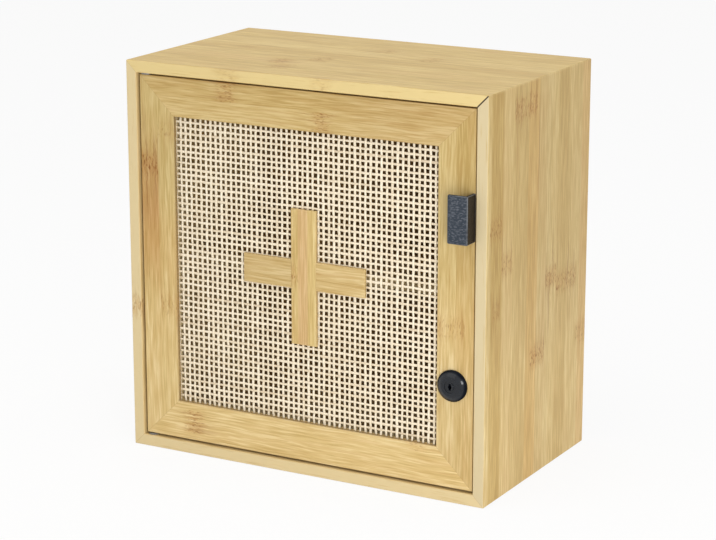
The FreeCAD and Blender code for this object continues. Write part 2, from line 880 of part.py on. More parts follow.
def make_lock_plug():
    """What the key turns: plug with its keyhole, cam and cam screw. The cam hangs down, unlocked."""
    face_y = door_front - bezel_height + plug_recess
    axis = Vector(lock_x, 0, lock_z)
    plug = rod(plug_diameter, axis + Vector(0, face_y, 0), axis + Vector(0, barrel_end, 0))
    collar_y = face_y - key_collar_height
    collar = rod(key_collar_diameter, axis + Vector(0, collar_y, 0), axis + Vector(0, face_y, 0))
    front_edges = [edge for edge in collar.Edges if edge.BoundBox.YMax < face_y - key_collar_height / 2]
    collar = collar.makeFillet(key_collar_rounding, front_edges)
    half_tail = tail_size / 2
    tail = box(
        lock_x - half_tail,
        lock_x + half_tail,
        barrel_end,
        cam_back,
        lock_z - half_tail,
        lock_z + half_tail,
    )
    half_slot = key_slot_width / 2
    slot = box(
        lock_x - half_slot,
        lock_x + half_slot,
        collar_y - overrun,
        face_y + key_depth,
        lock_z - key_slot_height / 2,
        lock_z + key_slot_height / 2,
    )
    key_hole = rod(
        key_hole_diameter,
        axis + Vector(0, collar_y - overrun, 0),
        axis + Vector(0, face_y + key_depth, 0),
    )
    rear = axis + Vector(0, cam_back, 0)
    forward = Vector(0, -1, 0)
    thread = screw_hole(rear, forward, cam_screw_diameter, cam_screw_grip)
    drive = half_tail + fit_clearance
    hub = rod(cam_hub_diameter, axis + Vector(0, cam_front, 0), rear)
    arm = box(
        lock_x - cam_width / 2,
        lock_x + cam_width / 2,
        cam_front,
        cam_back,
        lock_z - cam_reach,
        lock_z,
    )
    square = box(
        lock_x - drive,
        lock_x + drive,
        cam_front - overrun,
        cam_back + overrun,
        lock_z - drive,
        lock_z + drive,
    )
    screw = pan_screw(
        rear,
        forward,
        cam_screw_diameter,
        cam_screw_head,
        cam_screw_head_height,
        cam_screw_grip,
    )
    return {
        "lock_plug": plug.fuse([tail, collar]).removeSplitter().cut([slot, key_hole, thread]),
        "lock_cam": hub.fuse(arm).removeSplitter().cut(square),
        "cam_screw": screw,
    }


def main():
    """Builds every piece and writes each node to its own file."""
    nodes = {}
    nodes.update(make_carcass())
    nodes.update(make_fittings())
    nodes.update(make_strike())
    nodes.update(make_catch())
    nodes.update(make_door_frame())
    nodes["cane_panel"] = make_cane_panel()
    nodes.update(make_cane_beads())
    nodes.update(make_cross())
    nodes.update(make_pivot_pins())
    nodes.update(make_handle())
    nodes.update(make_catch_plate())
    nodes.update(make_lock_body())
    nodes.update(make_lock_plug())
    os.makedirs("parts", exist_ok=True)
    for name, shape in nodes.items():
        solids = shape.Solids
        piece = solids[0] if len(solids) == 1 else Part.makeCompound(solids)
        piece.exportStep(f"parts/{name}.step")
        print(f"{name}: {len(solids)} solid(s), {piece.Volume:.1f} mm3, valid {piece.isValid()}")


main()
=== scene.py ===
"""Looks of a bamboo medicine cabinet with a woven cane door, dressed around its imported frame.

Lengths are metres in the frame's own axes: +Z is up and the door faces -Y. Colours are linear.
"""

import logging
import math
import random
from collections.abc import Sequence
from dataclasses import dataclass, field
from enum import Enum
from functools import cached_property, partialmethod
from typing import Self

import bpy
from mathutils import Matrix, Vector


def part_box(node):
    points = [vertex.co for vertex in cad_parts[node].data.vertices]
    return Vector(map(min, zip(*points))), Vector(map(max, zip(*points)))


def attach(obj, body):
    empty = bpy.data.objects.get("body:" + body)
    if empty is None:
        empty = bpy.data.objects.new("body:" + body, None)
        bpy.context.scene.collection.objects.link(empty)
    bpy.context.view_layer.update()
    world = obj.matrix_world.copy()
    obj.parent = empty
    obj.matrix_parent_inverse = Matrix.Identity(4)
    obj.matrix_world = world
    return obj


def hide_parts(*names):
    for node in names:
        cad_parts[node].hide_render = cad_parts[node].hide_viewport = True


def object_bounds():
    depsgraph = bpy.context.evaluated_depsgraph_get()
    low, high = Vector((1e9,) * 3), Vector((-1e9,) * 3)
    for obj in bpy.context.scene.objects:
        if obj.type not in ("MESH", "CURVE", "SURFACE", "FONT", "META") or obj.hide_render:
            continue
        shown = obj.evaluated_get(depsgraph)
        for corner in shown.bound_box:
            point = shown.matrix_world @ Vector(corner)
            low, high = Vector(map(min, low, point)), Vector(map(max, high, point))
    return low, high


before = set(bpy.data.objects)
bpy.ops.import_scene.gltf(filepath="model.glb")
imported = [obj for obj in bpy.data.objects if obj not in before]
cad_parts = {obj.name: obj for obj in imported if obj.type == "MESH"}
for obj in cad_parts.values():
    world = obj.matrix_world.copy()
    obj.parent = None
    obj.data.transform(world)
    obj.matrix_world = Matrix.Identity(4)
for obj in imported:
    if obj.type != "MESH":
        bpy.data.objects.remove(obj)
cad_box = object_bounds()

log = logging.getLogger("medicine_cabinet")

Triple = tuple[float, float, float]
Colour = Triple
Node = bpy.types.Node
Socket = bpy.types.NodeSocket
Tree = bpy.types.NodeTree

WHITE = (1.0, 1.0, 1.0)
PLAIN_LAYERS, NOISE_LAYERS, FINE_LAYERS = 1.0, 2.0, 3.0


class Signal:
    """What a node puts out. Arithmetic with it adds nodes to the same tree."""

    def __init__(self, socket: Socket) -> None:
        """Keeps the socket that puts it out."""
        self.socket = socket

    def node(self, kind: str, *sources: "Source", **settings: object) -> list[Self]:
        """Adds a node to the tree, as add_node() says, and gives what it puts out."""
        made = add_node(self.socket.id_data, kind, *sources, **settings)
        return [Signal(socket) for socket in made.outputs if socket.enabled]

    def math(self, operation: str, *others: "Source") -> Self:
        """Works out one step of arithmetic, by Blender's name of it, on the signal and others."""
        return self.node("Math", self, *others, operation=operation)[0]

    # Python's operators and two more steps, by Blender's names of them
    __add__ = __radd__ = partialmethod(math, "ADD")
    __sub__ = partialmethod(math, "SUBTRACT")
    __mul__ = __rmul__ = partialmethod(math, "MULTIPLY")
    __truediv__ = partialmethod(math, "DIVIDE")
    __abs__ = partialmethod(math, "ABSOLUTE")
    least = partialmethod(math, "MINIMUM")
    most = partialmethod(math, "MAXIMUM")

    def __rsub__(self, other: float) -> Self:
        """Takes the signal from a number."""
        return self.math("MULTIPLY_ADD", -1.0, other)

    def swing(self, reach: float) -> Self:
        """Turns a value about 0.5 into one about zero, as large as the reach."""
        return (self - 0.5) * reach

    def ramp(self, low: "Source", high: "Source") -> Self:
        """Eases from 0 where the value is low to 1 where it is high."""
        return self.node("MapRange", self, low, high, interpolation_type="SMOOTHSTEP")[0]

    def fall(self, low: "Source", high: "Source") -> Self:
        """Eases from 1 where the value is low to 0 where it is high."""
        return 1.0 - self.ramp(low, high)

    def between(self, low: "Source", high: "Source", fade: "Source") -> Self:
        """Gives 1 between two values and 0 outside, with ends as soft as the fade."""
        back = fade * -1.0
        return (self - low).ramp(back, fade) * (high - self).ramp(back, fade)

    def parts(self) -> list[Self]:
        """Splits a vector into its three parts."""
        return self.node("SeparateXYZ", self)

    def joined(self, second: "Source", third: "Source") -> Self:
        """Joins the value and two others into a vector."""
        return self.node("CombineXYZ", self, second, third)[0]

    def stretched(self, shares: Triple) -> Self:
        """Multiplies each part of a vector by its share."""
        return self.node("VectorMath", self, shares, operation="MULTIPLY")[0]

    def noise(self, grid: Triple, layers: float = NOISE_LAYERS) -> Self:
        """Makes smooth noise about 0.5 at a point, by waves per metre along each axis and finer layers."""
        return self.node("TexNoise", self.stretched(grid), 1.0, layers)[0]

    def blend(self, first: "Source", second: "Source", way: str = "MIX") -> Self:
        """Mixes two colours in Blender's way of this name, with the value as the second one's share."""
        return self.node("Mix", self, first, second, data_type="RGBA", blend_type=way)[0]

    def mixed(self, first: Self, second: Self) -> Self:
        """Mixes two shaders, with the value as the second one's share."""
        return self.node("MixShader", self, first, second)[0]


Source = Signal | float | Sequence[float]


def add_node(tree: Tree, kind: str, *sources: Source, **settings: object) -> Node:
    """Adds one node.

    Args:
        tree: Where it goes.
        kind: Blender's name of the node, without its ShaderNode prefix.
        *sources: What its inputs get, in their order.
        **settings: The node's own properties, by name.

    Returns:
        The new node.
    """
    node = tree.nodes.new(f"ShaderNode{kind}")
    for name, value in settings.items():
        setattr(node, name, value)
    for socket, source in zip([s for s in node.inputs if s.enabled], sources):
        feed(socket, source)
    return node


def feed(socket: Socket, source: Source) -> None:
    """Links a source into a socket, or sets the socket where the source is a constant.

    Args:
        socket: The input.
        source: What it gets.
    """
    if isinstance(source, Signal):
        socket.id_data.links.new(source.socket, socket)
    elif socket.type == "RGBA":
        socket.default_value = (*source, 1.0)
    else:
        socket.default_value = source


def feed_all(node: Node, sources: dict[str, Source]) -> None:
    """Feeds several of a node's inputs by their names."""
    for name, source in sources.items():
        feed(node.inputs[name], source)


def put(name: str, data: bpy.types.ID) -> bpy.types.Object:
    """Puts a new object into the scene.

    Args:
        name: Its name.
        data: Its mesh, lamp or camera.

    Returns:
        The object.
    """
    made = bpy.data.objects.new(name, data)
    bpy.context.scene.collection.objects.link(made)
    return made


class Kind(Enum):
    """Blender's kinds of group socket."""

    VALUE = "NodeSocketFloat"
    VECTOR = "NodeSocketVector"
    COLOUR = "NodeSocketColor"


class Group:
    """A new shader node group."""

    def __init__(self, name: str) -> None:
        """Starts the group under its name."""
        self.tree = bpy.data.node_groups.new(name, "ShaderNodeTree")

    def takes(self, kind: Kind, *labels: str) -> list[Signal]:
        """Adds inputs.

        Args:
            kind: Their kind.
            *labels: Their names.

        Returns:
            What they are given.
        """
        for label in labels:
            self.tree.interface.new_socket(label, in_out="INPUT", socket_type=kind.value)
        entry = self.tree.nodes.new("NodeGroupInput")
        return [Signal(entry.outputs[label]) for label in labels]

    values = partialmethod(takes, Kind.VALUE)
    vectors = partialmethod(takes, Kind.VECTOR)
    colours = partialmethod(takes, Kind.COLOUR)

    def gives(self, **results: Signal) -> Tree:
        """Adds outputs, colours or values, and ends the group.

        Args:
            **results: What is put out, by the outputs' names.

        Returns:
            The group's tree.
        """
        for label, result in results.items():
            kind = Kind.COLOUR if result.socket.type == "RGBA" else Kind.VALUE
            self.tree.interface.new_socket(label, in_out="OUTPUT", socket_type=kind.value)
        feed_all(self.tree.nodes.new("NodeGroupOutput"), results)
        return self.tree


class Effects:
    """The shader node groups that the finishes share, each built when it is first asked for."""

    @cached_property
    def knuckle(self) -> Tree:
        """Where one knuckle of the bamboo lies: its core, and the tails that run out along the grain."""
        group = Group("bamboo_knuckle")
        (place,) = group.vectors("Place")
        centre, low, high, reach, strength, seed = group.values(
            "Along", "Low", "High", "Reach", "Strength", "Seed")
        side_fade, core_fade = 0.0007, (0.0020, 0.0130)
        wobble, wobble_grid = 0.006, (40.0, 110.0, 60.0)
        along, across, depth = place.parts()
        waver = along.joined(across, depth + seed).noise(wobble_grid).swing(wobble)
        distance = abs(along - centre + waver)
        inside = across.between(low, high, side_fade) * strength
        return group.gives(Core=distance.fall(*core_fade) * inside, Tail=distance.fall(0.0, reach) * inside)

    @cached_property
    def patch(self) -> Tree:
        """A soft-edged stretch of one strip."""
        group = Group("strip_patch")
        (place,) = group.vectors("Place")
        low, high, start, end, fade = group.values("Low", "High", "Start", "End", "Fade")
        side_fade = 0.0005
        along, across, _ = place.parts()
        return group.gives(Mask=across.between(low, high, side_fade) * along.between(start, end, fade))

    @cached_property
    def grain(self) -> Tree:
        """Laminated bamboo: strips of differing tone, fibres, glue lines, paler edges and knuckles."""
        group = Group("bamboo_grain")
        place, facing = group.vectors("Place", "Facing")
        seed, start, width, core, tail = group.values("Seed", "Start", "Width", "Core", "Tail")
        pale, body, deep, edge, blush, scar = group.colours(
            "Pale", "Body", "Deep", "Edge", "Blush", "Scar")
        glue_fade = (0.00006, 0.00022)
        wander_reach, waver_reach = 0.0030, 0.004

        # Waves per metre along the grain, across it and into it
        wander_grid, waver_grid, pore_grid = (24.0, 70.0, 70.0), (110.0, 150.0, 150.0), (1500.0,) * 3
        cloud_grid, broad_grid, streak_grid = (9.0, 45.0, 45.0), (11.0, 260.0, 260.0), (18.0, 420.0, 420.0)
        fibre_grid, hair_grid = (38.0, 780.0, 780.0), (45.0, 1800.0, 1800.0)
        curl_grid, dash_grid = (130.0, 420.0, 420.0), (230.0, 900.0, 900.0)

        # Each strip comes from another stretch of cane; its fibres wander, and waver beside a knuckle
        along, across, depth = place.parts()
        strip = (across - start) / width
        number = strip.math("FLOOR") + seed
        _, draw = number.node("TexWhiteNoise", number, noise_dimensions="1D")
        tone_draw, hue_draw, shift_draw = draw.parts()
        wander = place.noise(wander_grid).swing(wander_reach)
        waver = place.noise(waver_grid).swing(waver_reach)
        drawn = (along + shift_draw).joined(across + wander + waver * tail, depth + seed)
        cloud, broad, streak, hair, curl = (
            drawn.noise(grid) for grid in (cloud_grid, broad_grid, streak_grid, hair_grid, curl_grid))
        fibre, dash = drawn.noise(fibre_grid, FINE_LAYERS), drawn.noise(dash_grid, PLAIN_LAYERS)
        tone = 0.5 + tone_draw.swing(0.45) + cloud.swing(0.8) + broad.swing(0.9) + fibre.swing(2.7)
        colour = tone.ramp(0.5, 1.0).blend(tone.ramp(0.0, 0.5).blend(deep, body), pale)

        # The narrow faces of a board are paler, and its ends show the cut fibres
        ahead, aside, _ = facing.parts()
        narrow, end = abs(aside).ramp(0.55, 0.9), abs(ahead).ramp(0.75, 0.95)
        pores = place.noise(pore_grid).ramp(0.45, 0.65)

        # A knuckle has short dark dashes, and a glue line shows here and there between two strips
        flecks = core * dash.ramp(0.54, 0.66)
        within = strip.math("FRACT")
        seam = (within.least(1.0 - within) * width).fall(*glue_fade) * broad.ramp(0.40, 0.62)

        # Marks from the ground up: where and how much each shows, and in which colour
        for share, tint in (
                (hue_draw.ramp(0.4, 1.0) * cloud.ramp(0.35, 0.65) * 0.22, blush),
                (streak.ramp(0.50, 0.72) * 0.22, blush), (hair.ramp(0.55, 0.70) * 0.65, deep),
                (narrow * tone.ramp(-0.6, 0.5), edge), (end * (pores * 0.5 + 0.2), deep),
                (core * curl.ramp(0.34, 0.60) * 0.70, blush), (core * curl.ramp(0.54, 0.66) * 0.45, pale),
                (tail * streak.ramp(0.50, 0.68) * 0.50, scar), (flecks * 0.90, scar), (seam * 0.45, deep)):
            colour = share.blend(colour, tint)
        return group.gives(
            Color=colour, Roughness=0.50 + fibre.swing(0.30) + flecks * 0.12 + seam * 0.15,
            Height=fibre * 0.6 + hair * 0.4 - (flecks * 0.5 + seam * 0.6))

    @cached_property
    def worn_edges(self) -> Tree:
        """A patchy line along the twelve edges of a box-shaped piece, where hands rub it."""
        group = Group("worn_edges")
        place, low, high = group.vectors("Place", "Low", "High")
        (width,) = group.values("Width")
        patch_grid, patch_layers = (55.0,) * 3, 4.0
        first, second, third = (
            (at - start).least(end - at) for at, start, end in zip(place.parts(), low.parts(), high.parts()))

        # Of the three distances to the faces, the middle one is that to the nearest edge
        to_edge = first.least(second).most(first.most(second).least(third))
        patches = place.noise(patch_grid, patch_layers).ramp(0.35, 0.62)
        return group.gives(Mask=to_edge.fall(0.0, width) * patches)

    @cached_property
    def mitre(self) -> Tree:
        """The line on the front where two boards meet, at one corner of a square about the middle."""
        group = Group("mitre_line")
        place, facing = group.vectors("Place", "Facing")
        side, rise, middle, width = group.values("Side", "Rise", "Middle", "Width")
        corner_fade, patch_grid = (0.05, 0.10), (200.0,) * 3
        across, _, height = place.parts()
        _, forward, _ = facing.parts()
        out = across * side
        half = width * (place.noise(patch_grid) * 0.8 + 0.6)
        line = abs(out - (height - middle) * rise).fall(half * 0.5, half)
        return group.gives(Mask=line * out.ramp(*corner_fade) * abs(forward).ramp(0.5, 0.8))

    @cached_property
    def strand(self) -> Tree:
        """One strip of peeled cane, in its own length and width: fibres, patches and darker edges, partly
        painted shade.
        """
        group = Group("cane_strand")
        length, side, draw = group.values(*StrandMesh.MEASURES)
        pale, body, deep = group.colours("Pale", "Body", "Deep")
        lane_spread = 50.0

        # Waves per metre along the strand, per half width across it, and per lane
        fibre_grid, patch_grid, scar_grid = (45.0, 3.5, 1.0), (14.0, 0.4, 1.0), (90.0, 0.7, 1.0)
        drawn = length.joined(side, draw * lane_spread)
        fibre = drawn.noise(fibre_grid, FINE_LAYERS)
        scar = drawn.noise(scar_grid, PLAIN_LAYERS).ramp(0.70, 0.78)
        # The darker edges are partly the cane's own tone and partly painted shade that darkens the holes
        # between strands
        rim = abs(side).ramp(0.80, 1.0)
        tone = 0.58 + draw.swing(0.6) + fibre.swing(1.0) + drawn.noise(patch_grid).swing(1.5)
        colour = tone.ramp(0.30, 1.15).blend(tone.ramp(-0.3, 0.45).blend(deep, body), pale)
        for share in (rim * 0.65, scar * 0.5):
            colour = share.blend(colour, deep)
        return group.gives(Color=colour, Roughness=0.46 + fibre.swing(0.4) + rim * 0.12, Height=fibre)

    @cached_property
    def grit(self) -> Tree:
        """The fine pimples of a sprayed or moulded skin, with a faint mottle."""
        group = Group("surface_grit")
        (place,) = group.vectors("Place")
        grain, contrast, gloss = group.values("Grain", "Contrast", "Gloss")
        base, worn = group.colours("Base", "Worn")
        pimple_grid, mottle_grid = (1.0,) * 3, (45.0,) * 3
        counted = place.node("VectorMath", place, grain.math("POWER", -1.0), operation="SCALE")[0]
        pimples = counted.noise(pimple_grid)
        mottle = place.noise(mottle_grid, FINE_LAYERS)
        tint = contrast * (pimples.ramp(0.42, 0.72) + mottle.ramp(0.4, 0.7) * 0.35)
        return group.gives(
            Color=tint.blend(base, worn), Roughness=gloss + pimples.swing(0.25) + mottle.swing(0.15),
            Height=pimples)

    @cached_property
    def plating(self) -> Tree:
        """Zinc plating: a cloudy spangle and fine drawn lines."""
        group = Group("zinc_plating")
        (place,) = group.vectors("Place")
        bright, dull = group.colours("Bright", "Dull")
        (gloss,) = group.values("Gloss")
        cloud_grid, line_grid = (240.0,) * 3, (300.0, 5200.0, 300.0)
        cloud, lines = place.noise(cloud_grid, FINE_LAYERS), place.noise(line_grid)
        return group.gives(
            Color=cloud.ramp(0.36, 0.64).blend(bright, dull),
            Roughness=gloss + lines.swing(0.22) + cloud.swing(0.25), Height=lines)


class Canvas:
    """A new material, with its shader, where a point lies and which way it faces."""

    def __init__(self, name: str, finish: "Finish", effects: Effects) -> None:
        """Makes the material and paints it.

        Args:
            name: The name of the piece that wears it.
            finish: How it is painted.
            effects: The shared node groups.
        """
        self.effects = effects
        self.material = bpy.data.materials.new(f"{name}_finish")
        self.material.use_nodes = True
        self.tree = self.material.node_tree
        self.surface = self.tree.nodes["Principled BSDF"]
        coordinates = add_node(self.tree, "TexCoord").outputs
        self.at, self.facing = Signal(coordinates["Object"]), Signal(coordinates["Normal"])
        finish.paint(self)

    def place(self, effect: Tree, **sources: Source) -> dict[str, Signal]:
        """Places an effect group.

        Args:
            effect: The group's tree.
            **sources: What its inputs get, by their names.

        Returns:
            What it puts out, by name.
        """
        node = add_node(self.tree, "Group", node_tree=effect)
        feed_all(node, sources)
        return {socket.name: Signal(socket) for socket in node.outputs}

    def cover(self, effect: dict[str, Signal], colour: Source, relief: float, depth: float) -> None:
        """Gives the shader a colour, and an effect's roughness and relief.

        Args:
            effect: What the effect puts out.
            colour: The colour.
            relief: How much of the relief shows.
            depth: How deep it is, in metres.
        """
        bump = add_node(self.tree, "Bump")
        feed_all(bump, {"Height": effect["Height"], "Strength": relief, "Distance": depth})
        feed_all(self.surface, {
            "Base Color": colour, "Roughness": effect["Roughness"], "Normal": Signal(bump.outputs["Normal"])})


class Finish:
    """A surface that can be painted on a material."""

    def paint(self, canvas: Canvas) -> None:
        """Wires the finish into the material that the canvas holds."""
        raise NotImplementedError


class Lay(Enum):
    """How a piece is cut: the axes along its grain, across its strips and into its depth."""

    LEVEL_BOARD = (0, 1, 2)
    UPRIGHT_BOARD = (2, 1, 0)
    STILE = (2, 0, 1)
    RAIL = (0, 2, 1)

    def turned(self, vector: Signal) -> Signal:
        """Puts a vector's parts in the order along, across and depth."""
        parts = vector.parts()
        return Signal.joined(*(parts[axis] for axis in self.value))


class Wood(Enum):
    """The tones of bamboo in the cabinet: pale, body, deep, blush and scar."""

    HONEY = ((0.735, 0.560, 0.275), (0.635, 0.452, 0.188), (0.530, 0.355, 0.125),
             (0.510, 0.275, 0.085), (0.270, 0.105, 0.022))
    WHEAT = ((0.735, 0.575, 0.290), (0.635, 0.465, 0.203), (0.535, 0.370, 0.142),
             (0.515, 0.285, 0.092), (0.270, 0.108, 0.024))


@dataclass(frozen=True)
class Knuckle:
    """A knuckle of the bamboo on part of a board's width.

    along is its place along the grain, low and high its edges across it, and reach how far its streaks run.
    """

    along: float
    low: float
    high: float
    strength: float = 0.75
    reach: float = 0.030


@dataclass(frozen=True)
class Tint:
    """A stretch of a strip with another tone or painted light and shade: its colour's multiplier, and where
    it lies.

    low and high are places across the grain, start and end along it, and fade is how softly it ends.
    """

    colour: Colour
    low: float
    high: float
    start: float = -1.0
    end: float = 1.0
    fade: float = 0.02


@dataclass(frozen=True)
class Mitre:
    """A mitre line on the front: to the right or left, up or down, its half width, strength and colour."""

    side: float
    rise: float
    width: float = 0.00030
    depth: float = 0.30
    colour: Colour = (0.280, 0.150, 0.055)


TOP_CORNERS, BOTTOM_CORNERS = ((Mitre(1.0, rise), Mitre(-1.0, rise)) for rise in (1.0, -1.0))
RIGHT_CORNERS, LEFT_CORNERS = ((Mitre(side, 1.0), Mitre(side, -1.0)) for side in (1.0, -1.0))


@dataclass(frozen=True)
class Bamboo(Finish):
    """Laminated bamboo under satin lacquer, cut one way and drawn from one seed."""

    lay: Lay
    seed: float
    low: Triple
    high: Triple
    wood: Wood = Wood.HONEY
    edge: Colour = (0.700, 0.560, 0.310)
    strip_width: float = 0.0200
    first_strip: float = 0.0200
    knuckles: tuple[Knuckle, ...] = ()
    tints: tuple[Tint, ...] = ()
    mitres: tuple[Mitre, ...] = ()
    arris_width: float = 0.0016
    wear: float = 0.30
    lacquer: float = 0.04
    lacquer_haze: float = 0.30
    shine: float = 0.25
    relief: float = 0.20
    relief_depth: float = 0.00025

    def paint(self, canvas: Canvas) -> None:
        """Wires grain, knuckles, tints, worn arrises and mitre lines into the shader.

        Args:
            canvas: What holds the material.
        """
        effects = canvas.effects
        pale, body, deep, blush, scar = self.wood.value
        place = self.lay.turned(canvas.at)
        core, tail = 0.0, 0.0
        for knuckle in self.knuckles:
            mark = canvas.place(
                effects.knuckle, Place=place, Along=knuckle.along, Low=knuckle.low, High=knuckle.high,
                Reach=knuckle.reach, Strength=knuckle.strength, Seed=self.seed)
            core, tail = mark["Core"].most(core), mark["Tail"].most(tail)
        start = self.low[self.lay.value[1]] + self.first_strip - self.strip_width
        grain = canvas.place(
            effects.grain, Place=place, Facing=self.lay.turned(canvas.facing), Seed=self.seed, Start=start,
            Width=self.strip_width, Core=core, Tail=tail, Pale=pale, Body=body, Deep=deep, Edge=self.edge,
            Blush=blush, Scar=scar)
        colour = grain["Color"]
        for tint in self.tints:
            patch = canvas.place(
                effects.patch, Place=place, Low=tint.low, High=tint.high, Start=tint.start, End=tint.end,
                Fade=tint.fade)
            colour = patch["Mask"].blend(colour, tint.colour, "MULTIPLY")
        worn = canvas.place(
            effects.worn_edges, Place=canvas.at, Low=self.low, High=self.high, Width=self.arris_width)
        colour = (worn["Mask"] * self.wear).blend(colour, pale)
        middle = (cad_box[0].z + cad_box[1].z) / 2
        for mitre in self.mitres:
            line = canvas.place(
                effects.mitre, Place=canvas.at, Facing=canvas.facing, Side=mitre.side, Rise=mitre.rise,
                Middle=middle, Width=mitre.width)
            colour = (line["Mask"] * mitre.depth).blend(colour, mitre.colour)
        canvas.cover(grain, colour, self.relief, self.relief_depth)
        feed_all(canvas.surface, {
            "Coat Weight": self.lacquer, "Coat Roughness": self.lacquer_haze,
            "Specular IOR Level": self.shine})


@dataclass(frozen=True)
class Cane(Finish):
    """Peeled cane, from pale to deep."""

    pale: Colour
    body: Colour
    deep: Colour
    relief: float = 0.35
    relief_depth: float = 0.0001

    def paint(self, canvas: Canvas) -> None:
        """Wires the strand effect into the shader.

        Args:
            canvas: What holds the material.
        """
        sources = {"Pale": self.pale, "Body": self.body, "Deep": self.deep}
        for label, name in StrandMesh.MEASURES.items():
            sources[label] = Signal(add_node(canvas.tree, "Attribute", attribute_name=name).outputs["Fac"])
        strand = canvas.place(canvas.effects.strand, **sources)
        canvas.cover(strand, strand["Color"], self.relief, self.relief_depth)


@dataclass(frozen=True)
class Coat(Finish):
    """A sprayed or moulded skin over a plain colour; stretch below 1 draws its pimples out that way."""

    base: Colour
    worn: Colour
    grain: float
    contrast: float
    gloss: float
    relief: float
    depth: float
    shine: float = 0.5
    stretch: Triple = (1.0, 1.0, 1.0)
    polish: float = 0.0
    haze: float = 0.12

    def paint(self, canvas: Canvas) -> None:
        """Wires the grit effect into the shader.

        Args:
            canvas: What holds the material.
        """
        base, worn = self.colours(canvas)
        grit = canvas.place(
            canvas.effects.grit, Place=canvas.at.stretched(self.stretch), Grain=self.grain, Base=base,
            Worn=worn, Contrast=self.contrast, Gloss=self.gloss)
        canvas.cover(grit, self.edge_wear_and_highlight(canvas, grit["Color"]), self.relief, self.depth)
        feed_all(canvas.surface, {
            "Specular IOR Level": self.shine, "Coat Weight": self.polished(canvas),
            "Coat Roughness": self.haze})

    def colours(self, canvas: Canvas) -> tuple[Source, Source]:
        """Gives the colours under the grit and of its tips, which are the same all over."""
        return self.base, self.worn

    def polished(self, canvas: Canvas) -> Source:
        """Gives how polished the coat is, which is the same all over."""
        return self.polish

    def edge_wear_and_highlight(self, canvas: Canvas, colour: Signal) -> Signal:
        """Gives the colour of the edges, where wear and a painted highlight may go; here it is no other
        colour.
        """
        return colour


@dataclass(frozen=True, kw_only=True)
class HandledCoat(Coat):
    """A coat on something that hands hold: a painted sheen on its front, wear and a painted highlight on its
    edges.
    """

    # front, with worn as its tips, is the lighter colour of the front face, a painted sheen; edge is partly
    # wear, partly a painted highlight
    front: Colour
    shaded: Colour
    edge: Colour
    low: Triple
    high: Triple
    edge_width: float = 0.0009
    sheen_fade: tuple[float, float] = (-0.9, -0.4)

    def colours(self, canvas: Canvas) -> tuple[Source, Source]:
        """Gives the colours under the grit and of its tips, which are lighter on the front as a painted
        sheen.

        Args:
            canvas: What holds the material.

        Returns:
            The two colours.
        """
        # Painted sheen: the front face gets the lighter colours, the other faces the darker shaded ones
        _, forward, _ = canvas.facing.parts()
        sheen_on_front = forward.fall(*self.sheen_fade)
        return sheen_on_front.blend(self.base, self.front), sheen_on_front.blend(self.shaded, self.worn)

    def edge_wear_and_highlight(self, canvas: Canvas, colour: Signal) -> Signal:
        """Gives the colour with patchy bright lines along the edges: partly worn paint, partly a painted
        highlight.
        """
        worn = canvas.place(canvas.effects.worn_edges, Place=canvas.at, Low=self.low, High=self.high,
                            Width=self.edge_width)
        return worn["Mask"].blend(colour, self.edge)


@dataclass(frozen=True, kw_only=True)
class BezelCoat(Coat):
    """A coat on a round bezel in the front: polished in the middle and dull round its rim."""

    centre: Triple
    bright_radius: float = 0.0103
    dull_radius: float = 0.0117

    def polished(self, canvas: Canvas) -> Source:
        """Gives the polish, which fades out towards the rim.

        Args:
            canvas: What holds the material.

        Returns:
            The polish at each point.
        """
        across, _, height = canvas.at.parts()
        side, rise = across - self.centre[0], height - self.centre[2]
        radius = (side * side + rise * rise).math("SQRT")
        return radius.fall(self.bright_radius, self.dull_radius) * self.polish


@dataclass(frozen=True)
class Plated(Finish):
    """Zinc-plated steel."""

    bright: Colour = (0.70, 0.70, 0.69)
    dull: Colour = (0.50, 0.50, 0.50)
    gloss: float = 0.30
    relief: float = 0.12
    relief_depth: float = 0.00005

    def paint(self, canvas: Canvas) -> None:
        """Wires the plating effect into the shader.

        Args:
            canvas: What holds the material.
        """
        plating = canvas.place(
            canvas.effects.plating, Place=canvas.at, Bright=self.bright, Dull=self.dull, Gloss=self.gloss)
        canvas.cover(plating, plating["Color"], self.relief, self.relief_depth)
        feed_all(canvas.surface, {"Metallic": 1.0})


